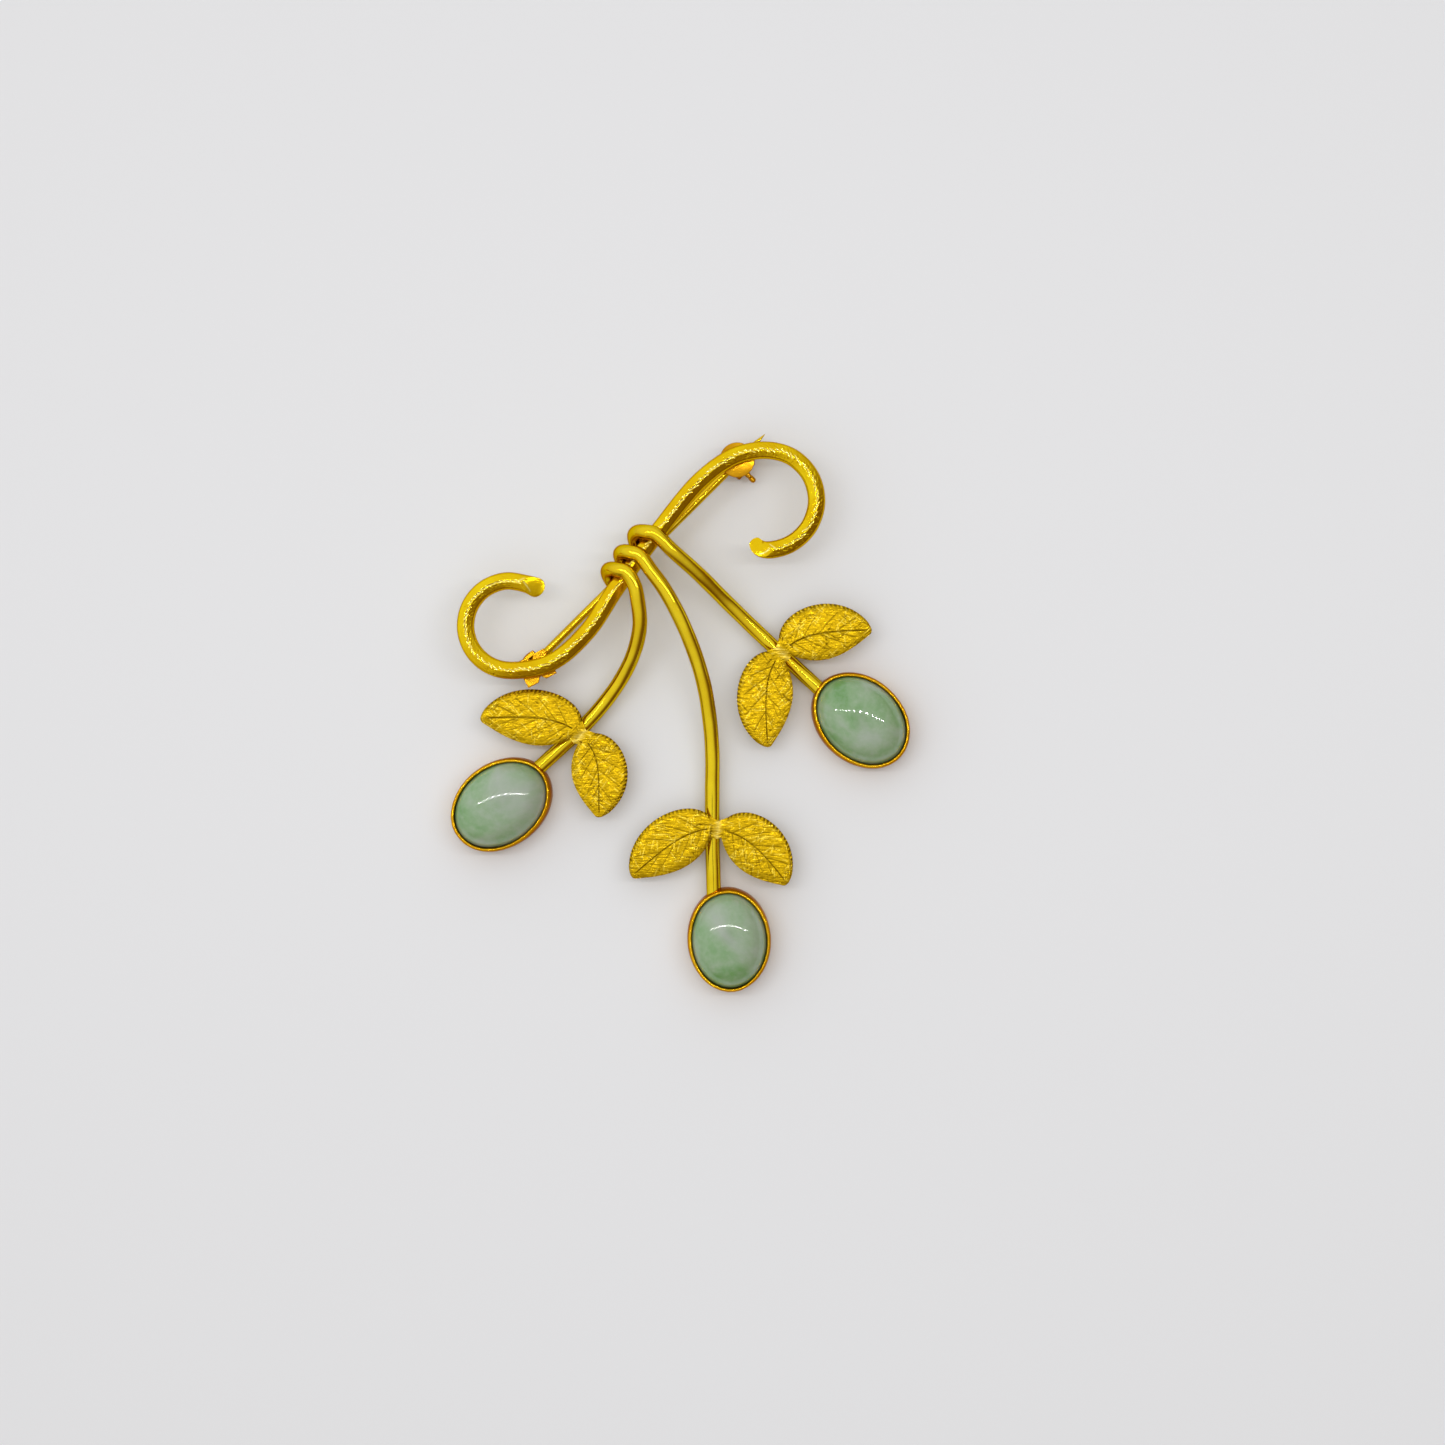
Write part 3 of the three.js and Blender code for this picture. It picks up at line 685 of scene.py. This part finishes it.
def brushed_gold():
    """Cross-brushed gold: painted shade where it is cut, pale where solder has washed over the bridge, and
    painted highlights on marked brush strokes.
    """
    material = bpy.data.materials.new("brushed_gold")
    tree, surface = shader_nodes(material)
    place = node(tree, "TexCoord").outputs["Object"]
    brush = []
    for angle in (0.6, -0.9):
        turned = node(tree, "Mapping", [(place, "Vector")])
        turned.inputs["Rotation"].default_value = (0, 0, angle)
        turned.inputs["Scale"].default_value = (1300.0, 9000.0, 1300.0)
        brush.append(node(tree, "TexNoise", [(turned.outputs["Vector"], "Vector")], Scale=1.0, Detail=3.0))
    cross = node(tree, "Math", [(brush[0].outputs["Fac"], 0), (brush[1].outputs["Fac"], 1)], operation="ADD")
    tone = node(tree, "MapRange", [(cross.outputs["Value"], "Value")], From_Min=0.8, From_Max=1.25)
    mix = node(tree, "Mix", [(tone.outputs["Result"], "Factor")], data_type="RGBA")
    mix.inputs["A"].default_value = (0.40, 0.245, 0.003, 1)
    mix.inputs["B"].default_value = (0.78, 0.50, 0.008, 1)
    # Painted shade in the veins, brush strokes and milled rim: the deeper the cut, the darker the colour.
    cut = node(tree, "Attribute", attribute_name="cut")
    painted_groove_shade = node(tree, "MapRange", [(cut.outputs["Fac"], "Value")], From_Min=0.25, From_Max=1.0, To_Max=0.75)
    dark = overlay(tree, painted_groove_shade.outputs["Result"], mix.outputs["Result"], (0.10, 0.055, 0.002))
    worn = node(tree, "Attribute", attribute_name="worn")
    both = [(worn.outputs["Fac"], 0), (brush[0].outputs["Fac"], 1)]
    patch = node(tree, "Math", both, operation="MULTIPLY").outputs["Value"]
    fade = node(tree, "MapRange", [(patch, "Value")], From_Min=0.3, From_Max=0.62, To_Max=0.6)
    pale = overlay(tree, fade.outputs["Result"], dark, (0.62, 0.54, 0.16))
    # Painted highlight: a bright yellow gold on the marked brush strokes.
    painted_highlight = node(tree, "Attribute", attribute_name="painted_highlight")
    with_painted_highlight = overlay(tree, painted_highlight.outputs["Fac"], pale, (0.96, 0.74, 0.08))
    tree.links.new(with_painted_highlight, surface.inputs["Base Color"])
    rough = node(tree, "MapRange", [(cross.outputs["Value"], "Value")], From_Min=0.8, From_Max=1.2)
    rough.inputs["To Min"].default_value = 0.5
    rough.inputs["To Max"].default_value = 0.26
    tree.links.new(rough.outputs["Result"], surface.inputs["Roughness"])
    bump = node(tree, "Bump", [(cross.outputs["Value"], "Height")], Strength=0.35, Distance=0.00004)
    tree.links.new(bump.outputs["Normal"], surface.inputs["Normal"])
    surface.inputs["Metallic"].default_value = 1.0
    surface.inputs["Specular Tint"].default_value = (0.5, 0.26, 0.04, 1)
    return material


leaf_gold = brushed_gold()
for name in STEMS:
    sheet = leaf_sheet(name)
    sheet.data.materials.append(leaf_gold)
    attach(sheet, "spray")
    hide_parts(f"leaf_pair_{name}")


# Stone cups: a flat oval back plate with a thin wall soldered on it. The wall's top edge is
# pushed over the stone by hand, so it is a little uneven, and its gold is deeper in colour.
CUP_TRIM = 0.02


def oval_rings(cup, profile, wobble):
    """Rings of a section set round the oval. Section corners are (outwards, up) from the wall."""
    around = np.linspace(0, 2 * math.pi, 220, endpoint=False)[:, None]
    out, up = (np.array(column)[None, :] for column in zip(*profile))
    shift, lift = wobble(around, up)
    out, up = out + shift, up + lift
    along = (cup.long - CUP_TRIM + out) * np.cos(around)
    aside = (cup.short - CUP_TRIM + out) * np.sin(around)
    return cup.place(along, aside, up)


def hand_set(chance):
    """Small uneven swells of the wall that grow towards its top."""
    phases = chance.random(6) * 2 * math.pi

    def wobble(around, up):
        top = np.clip((up - 1.6) / 1.6, 0, 1)
        shift = sum(0.028 / (k + 1) * np.sin((2 * k + 3) * around + phases[k]) for k in range(3))
        lift = sum(0.04 / (k + 1) * np.sin((3 * k + 2) * around + phases[k + 3]) for k in range(3))
        fine = 0.012 * np.sin(31 * around + 2 * np.sin(5 * around))
        return (shift + fine - 0.05) * top, (lift + fine - 0.06) * top

    return wobble


def bezel_wall(name, cup):
    lo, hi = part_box(f"bezel_band_{name}")
    foot, top = lo.z / MM, hi.z / MM
    lip = [(-0.02, top - 0.75), (-0.05, top - 0.35), (-0.1, top - 0.1)]
    lip += [(-0.16, top - 0.02), (-0.24, top), (-0.33, top - 0.03), (-0.4, top - 0.12)]
    inner = [(-WALL - 0.05, top - 0.5), (-WALL, top - 0.9), (-WALL, foot)]
    profile = [(0, foot), (0, foot + 0.5), (0, top - 1.4), *lip, *inner]
    chance = np.random.default_rng({"left": 21, "middle": 22, "right": 23}[name])
    rings = oval_rings(cup, profile, hand_set(chance))
    return skin(f"bezel_wall_{name}", rings, loop=True, crease=60)


def cup_back(name, cup):
    lo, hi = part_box(f"bezel_back_{name}")
    low, high = lo.z / MM, hi.z / MM
    around = np.linspace(0, 2 * math.pi, 160, endpoint=False)[:, None]
    share = np.array([0.02, 0.5, 0.97, 0.99, 1, 1, 0.995, 0.6, 0.02])[None, :]
    level = np.array([low, low, low, low + 0.03, low + 0.12, high - 0.1, high, high, high])[None, :]
    long, short = cup.long - CUP_TRIM, cup.short - CUP_TRIM
    rings = cup.place(long * share * np.cos(around), short * share * np.sin(around), level)
    return skin(f"cup_back_{name}", rings.transpose(1, 0, 2))


cup_gold = gold("bezel_gold", (0.82, 0.47, 0.015), (0.64, 0.32, 0.006), 0.2, 0.4, 3200.0)
for name, cup in cups.items():
    pieces = {f"bezel_back_{name}": cup_back(name, cup), f"bezel_band_{name}": bezel_wall(name, cup)}
    for hidden, made in pieces.items():
        made.data.materials.append(cup_gold)
        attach(made, "spray")
        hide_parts(hidden)


# Three oval jade cabochons, ground to a high dome and polished. The stone is translucent, grey
# to lavender with clouds of apple green, and it is held only by the lip of its cup.
FULLNESS = 0.8
GIRDLE = 1.0


def jade_stone(name, cup):
    lo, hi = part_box(f"cabochon_{name}")
    foot, top = lo.z / MM, hi.z / MM
    girdle = foot + GIRDLE
    rise = np.linspace(0, math.pi / 2, 44)[:-1]
    share = np.concatenate([[0.02, 0.5, 0.96, 1.0, 1.0], np.cos(rise) ** FULLNESS, [0.012]])
    domed = girdle + (top - girdle) * np.sin(rise) ** FULLNESS
    level = np.concatenate([[foot, foot, foot, foot + 0.06, girdle - 0.2], domed, [top]])
    around = np.linspace(0, 2 * math.pi, 120, endpoint=False)[:, None]
    a, b = cup.long - WALL - SEAM, cup.short - WALL - SEAM
    rings = cup.place(a * share[None] * np.cos(around), b * share[None] * np.sin(around), level[None])
    return skin(f"jade_stone_{name}", rings.transpose(1, 0, 2), crease=60)


def jade():
    material = bpy.data.materials.new("jade")
    tree, surface = shader_nodes(material)
    place = node(tree, "TexCoord").outputs["Object"]
    cloud = node(tree, "TexNoise", [(place, "Vector")], Scale=210.0, Detail=4.0, Roughness=0.5)
    cloud.inputs["Distortion"].default_value = 0.6
    ramp = node(tree, "ValToRGB", [(cloud.outputs["Fac"], "Fac")])
    stops = (
        (0.30, (0.36, 0.42, 0.35)),
        (0.46, (0.28, 0.39, 0.25)),
        (0.58, (0.21, 0.36, 0.17)),
        (0.72, (0.13, 0.30, 0.09)),
    )
    elements = ramp.color_ramp.elements
    while len(elements) < len(stops):
        elements.new(0.5)
    for element, (at, colour) in zip(elements, stops):
        element.position = at
        element.color = (*colour, 1)
    speck = node(tree, "TexNoise", [(place, "Vector")], Scale=1500.0, Detail=5.0, Roughness=0.6)
    veil = node(tree, "MapRange", [(speck.outputs["Fac"], "Value")], From_Min=0.42, From_Max=0.75)
    veil.inputs["To Max"].default_value = 0.35
    flecked = overlay(tree, veil.outputs["Result"], ramp.outputs["Color"], (0.40, 0.47, 0.38))
    tree.links.new(flecked, surface.inputs["Base Color"])
    surface.inputs["Roughness"].default_value = 0.06
    surface.inputs["IOR"].default_value = 1.62
    surface.inputs["Subsurface Weight"].default_value = 0.6
    surface.inputs["Subsurface Radius"].default_value = (0.9, 1.2, 0.8)
    surface.inputs["Subsurface Scale"].default_value = 0.0009
    return material


jade_green = jade()
for name, cup in cups.items():
    stone = jade_stone(name, cup)
    stone.data.materials.append(jade_green)
    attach(stone, "spray")
    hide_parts(f"cabochon_{name}")


# The hinge: a notched plate soldered under the bar, with two ears folded down from it, and a
# rivet with hammered heads through both. The gold of all the findings is redder than the bar's, and darker
# as painted shade for the bar's shadow over them.
PIN_ANGLE = 44.9
PLATE_T = 0.4
HINGE_SIZE = (3.2, 2.8)
HINGE_SHIFT = (-0.15, -0.57)
HINGE_TURN = math.radians(-17)
NOTCH = 0.45
EAR_R = 0.85
EAR_T = 0.4
EAR_INSIDE = 0.58
RIVET_R = 0.38
POLE = 0.02
rivet_lo, rivet_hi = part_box("hinge_rivet")
pivot = (rivet_lo + rivet_hi) / 2 / MM
_, hinge_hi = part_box("hinge_base")
plate_high = hinge_hi.z / MM - pivot.z
plate_low = plate_high - PLATE_T


def pinned(name, shells):
    """Shells joined in one piece and set down where the tongue runs along +X from its pivot."""
    corners, faces = [], []
    for points, polygons in shells:
        start = sum(len(part) for part in corners)
        corners.append(points)
        faces += [[corner + start for corner in polygon] for polygon in polygons]
    x, y, z = np.concatenate(corners).T
    c, s = polar(PIN_ANGLE, 1)
    placed = [pivot.x + x * c - y * s, pivot.y + x * s + y * c, pivot.z + z]
    return solid(name, np.column_stack(placed), faces)


def lathe(profile, axis, sides=48, middle=0.0):
    """A turned shell from (radius, height) corners about x, y or z, closed flat at the POLE."""
    turn = np.linspace(0, 2 * math.pi, sides, endpoint=False)[None, :]
    radius, height = (np.array(column)[:, None] for column in zip(*profile))
    a, b, h = np.broadcast_arrays(radius * np.cos(turn), radius * np.sin(turn), height)
    order = {"x": (h, a, b), "y": (b, h, a), "z": (a + middle, b, h)}[axis]
    return shell(np.stack(order, axis=-1))


def sheet_plate(outline, low, high, bevel):
    """A flat plate with its edges softly bevelled."""
    edge = np.array(outline, float)
    before, after = edge - np.roll(edge, 1, axis=0), np.roll(edge, -1, axis=0) - edge
    before, after = (side / np.linalg.norm(side, axis=1)[:, None] for side in (before, after))
    inward = np.column_stack([-(before + after)[:, 1], (before + after)[:, 0]])
    small = edge + bevel * inward / np.linalg.norm(inward, axis=1)[:, None]
    levels = ((small, low), (edge, low + bevel), (edge, high - bevel), (small, high))
    return shell(np.array([np.column_stack([flat, np.full(len(flat), z)]) for flat, z in levels]))


def eye(hole, rim, from_y, to_y, bevel=0.05):
    """A plate round a hole on the rivet's line; rim gives its outer radius at each angle."""
    turn = np.linspace(0, 2 * math.pi, 96, endpoint=False)
    edge = rim(turn)
    bore = np.full_like(edge, hole)
    corners = [(bore, from_y + bevel), (bore + bevel, from_y)]
    corners += [(edge - bevel, from_y), (edge, from_y + bevel)]
    corners += [(edge, to_y - bevel), (edge - bevel, to_y)]
    corners += [(bore + bevel, to_y), (bore, to_y - bevel)]
    rings = [[r * np.cos(turn), 0 * turn + y, r * np.sin(turn)] for r, y in corners]
    return shell(np.array(rings).transpose(2, 0, 1), loop=True)


def ear_rim(turn):
    """An ear's outline: round below the rivet, straight-sided up into the plate."""
    top = plate_low + PLATE_T / 2
    side = EAR_R / np.maximum(np.abs(np.cos(turn)), 0.01)
    level = top / np.maximum(np.sin(turn), 0.01)
    return np.where(np.sin(turn) < 0, EAR_R, np.minimum(side, level))


def hinge():
    a, b = HINGE_SIZE[0] / 2, HINGE_SIZE[1] / 2
    half = [(-a, -b), (-NOTCH, -b), (-0.06, NOTCH - b), (0.06, NOTCH - b), (NOTCH, -b), (a, -b)]
    flat = np.array(half + [(-x, -y) for x, y in half])
    c, s = math.cos(HINGE_TURN), math.sin(HINGE_TURN)
    turned = np.column_stack([flat[:, 0] * c - flat[:, 1] * s, flat[:, 0] * s + flat[:, 1] * c])
    shells = [sheet_plate(turned + HINGE_SHIFT, plate_low, plate_high, 0.06)]
    for side in (-1, 1):
        near, far = sorted((side * EAR_INSIDE, side * (EAR_INSIDE + EAR_T)))
        shells.append(eye(RIVET_R + SEAM, ear_rim, near, far))
    return pinned("hinge_plate_and_ears", shells)


def rivet():
    foot = EAR_INSIDE + EAR_T + SEAM
    head = [(RIVET_R, foot), (0.56, foot), (0.6, foot + 0.04), (0.58, foot + 0.09)]
    head += [(0.45, foot + 0.16), (0.22, foot + 0.19), (POLE, foot + 0.2)]
    profile = [(r, -y) for r, y in reversed(head)] + head
    return pinned("hinge_rivet_pin", [lathe(profile, "y")])


# Redder than the bar's gold, and also darker as painted shade for the bar's shadow over the hinge and catch.
finding_gold = gold("finding_gold", (0.74, 0.38, 0.010), (0.48, 0.22, 0.005), 0.2, 0.6, 1700.0)
for made, hidden in ((hinge(), "hinge_base"), (rivet(), "hinge_rivet")):
    made.data.materials.append(finding_gold)
    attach(made, "spray")
    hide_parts(hidden)


# The pin's tongue: 0.8 mm gold wire, hard drawn so it springs, with a flat knuckle at one end
# that turns on the rivet and the other end drawn to a sharp point.
TONGUE_R = 0.4
KNUCKLE_R = 0.78
KNUCKLE_HALF = 0.5
RUNNING = 0.07
TONGUE_L = 32.74
POINT_L = 2.4
POINT_R = 0.008


def tongue():
    hole = RIVET_R + RUNNING
    root = (hole + KNUCKLE_R) / 2
    shank = [(POLE, root), (TONGUE_R * 0.9, root), (TONGUE_R, root + 0.4)]
    shank.append((TONGUE_R, TONGUE_L - POINT_L - 0.2))
    for t in np.linspace(0.06, 1, 14):
        shank.append((TONGUE_R * (1 - t) ** 0.85 + POINT_R, TONGUE_L - POINT_L * (1 - t)))
    knuckle = eye(hole, lambda turn: np.full_like(turn, KNUCKLE_R), -KNUCKLE_HALF, KNUCKLE_HALF, 0.06)
    return pinned("pin_wire", [knuckle, lathe(shank, "x", 32)])


pin_gold = gold("pin_gold", (0.84, 0.60, 0.02), (0.72, 0.46, 0.01), 0.14, 0.2, 2600.0)
pin_wire = tongue()
pin_wire.data.materials.append(pin_gold)
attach(pin_wire, "tongue")
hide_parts("pin_tongue")


# The catch: two slotted rings on a neck under a round plate, which is soldered to the bar. The
# lock is a slotted sleeve that turns inside the rings, and its lever comes out between them.
CATCH_AT = 28.6
CATCH_R = 1.45
RING_NEAR = 0.6
RING_FAR = 0.9
LEVER_GAP = 0.75
CATCH_PLATE_R = 1.75
NECK_HALF = 0.75
SLOT_HALF = 0.49
LOCK_HOLE = 0.5
LOCK_R = 0.88
LEVER_R = 0.275
LEVER_REACH = 2.7
catch_near = CATCH_AT - LEVER_GAP / 2 - RING_NEAR
catch_far = CATCH_AT + LEVER_GAP / 2 + RING_FAR


def slotted_ring(inner, outer, near, far, bevel=0.06):
    """A ring round the tongue with a slot cut straight up into it from below."""
    corners = [(near, inner + bevel), (near, outer - bevel), (near + bevel, outer), (far - bevel, outer)]
    corners += [(far, outer - bevel), (far, inner + bevel), (far - bevel, inner), (near + bevel, inner)]
    steps = np.linspace(0, 1, 60)[:, None]
    x, r = (np.array(column)[None, :] for column in zip(*corners))
    cut = np.arcsin(SLOT_HALF / r)
    turn = -math.pi / 2 + cut + (2 * math.pi - 2 * cut) * steps
    return shell(np.stack(np.broadcast_arrays(x, r * np.cos(turn), r * np.sin(turn)), axis=-1))


def neck():
    low, top, arch = (LOCK_R + CATCH_R) / 2 + 0.04, plate_low + 0.1, CATCH_R + 0.1
    left, right = CATCH_AT - LEVER_GAP / 2, CATCH_AT + LEVER_GAP / 2
    side = [(catch_near + 0.03, low), (left - 0.03, low), (left - 0.03, arch), (right + 0.03, arch)]
    side += [(right + 0.03, low), (catch_far - 0.03, low), (catch_far - 0.03, top), (catch_near + 0.03, top)]
    levels = (-NECK_HALF, -NECK_HALF + 0.06, NECK_HALF - 0.06, NECK_HALF)
    return shell(np.array([[(x, y, z) for x, z in side] for y in levels]))


def catch():
    middle = (catch_near + catch_far) / 2
    rim = CATCH_PLATE_R
    disc = [(POLE, plate_low), (rim - 0.06, plate_low), (rim, plate_low + 0.06)]
    disc += [(rim, plate_high - 0.22), (rim - 0.05, plate_high - 0.14), (rim - 0.2, plate_high - 0.1)]
    disc += [(1.2, plate_high - 0.05), (0.8, plate_high - 0.01), (0.4, plate_high), (POLE, plate_high)]
    rings = [slotted_ring(LOCK_R + RUNNING, CATCH_R, catch_near, CATCH_AT - LEVER_GAP / 2)]
    rings.append(slotted_ring(LOCK_R + RUNNING, CATCH_R, CATCH_AT + LEVER_GAP / 2, catch_far))
    return pinned("catch_plate_and_rings", [lathe(disc, "z", 72, middle), neck(), *rings])


def lock():
    root = (LOCK_HOLE + LOCK_R) / 2
    knob = [(POLE, LEVER_REACH), (0.12, LEVER_REACH - 0.02), (0.21, LEVER_REACH - 0.08)]
    knob += [(LEVER_R, LEVER_REACH - 0.2), (LEVER_R, 2.05), (LEVER_R - 0.04, 1.98)]
    knob += [(LEVER_R - 0.04, 1.88), (LEVER_R, 1.8), (LEVER_R, root), (POLE, root)]
    lever, faces = lathe([(r, -y) for r, y in knob], "y", 32)
    sleeve = slotted_ring(LOCK_HOLE, LOCK_R, catch_near, catch_far, 0.05)
    return pinned("lock_sleeve_and_lever", [sleeve, (lever + (CATCH_AT, 0, 0), faces)])


for made, hidden, body in ((catch(), "catch_base", "spray"), (lock(), "catch_lock", "lock")):
    made.data.materials.append(finding_gold)
    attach(made, body)
    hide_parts(hidden)
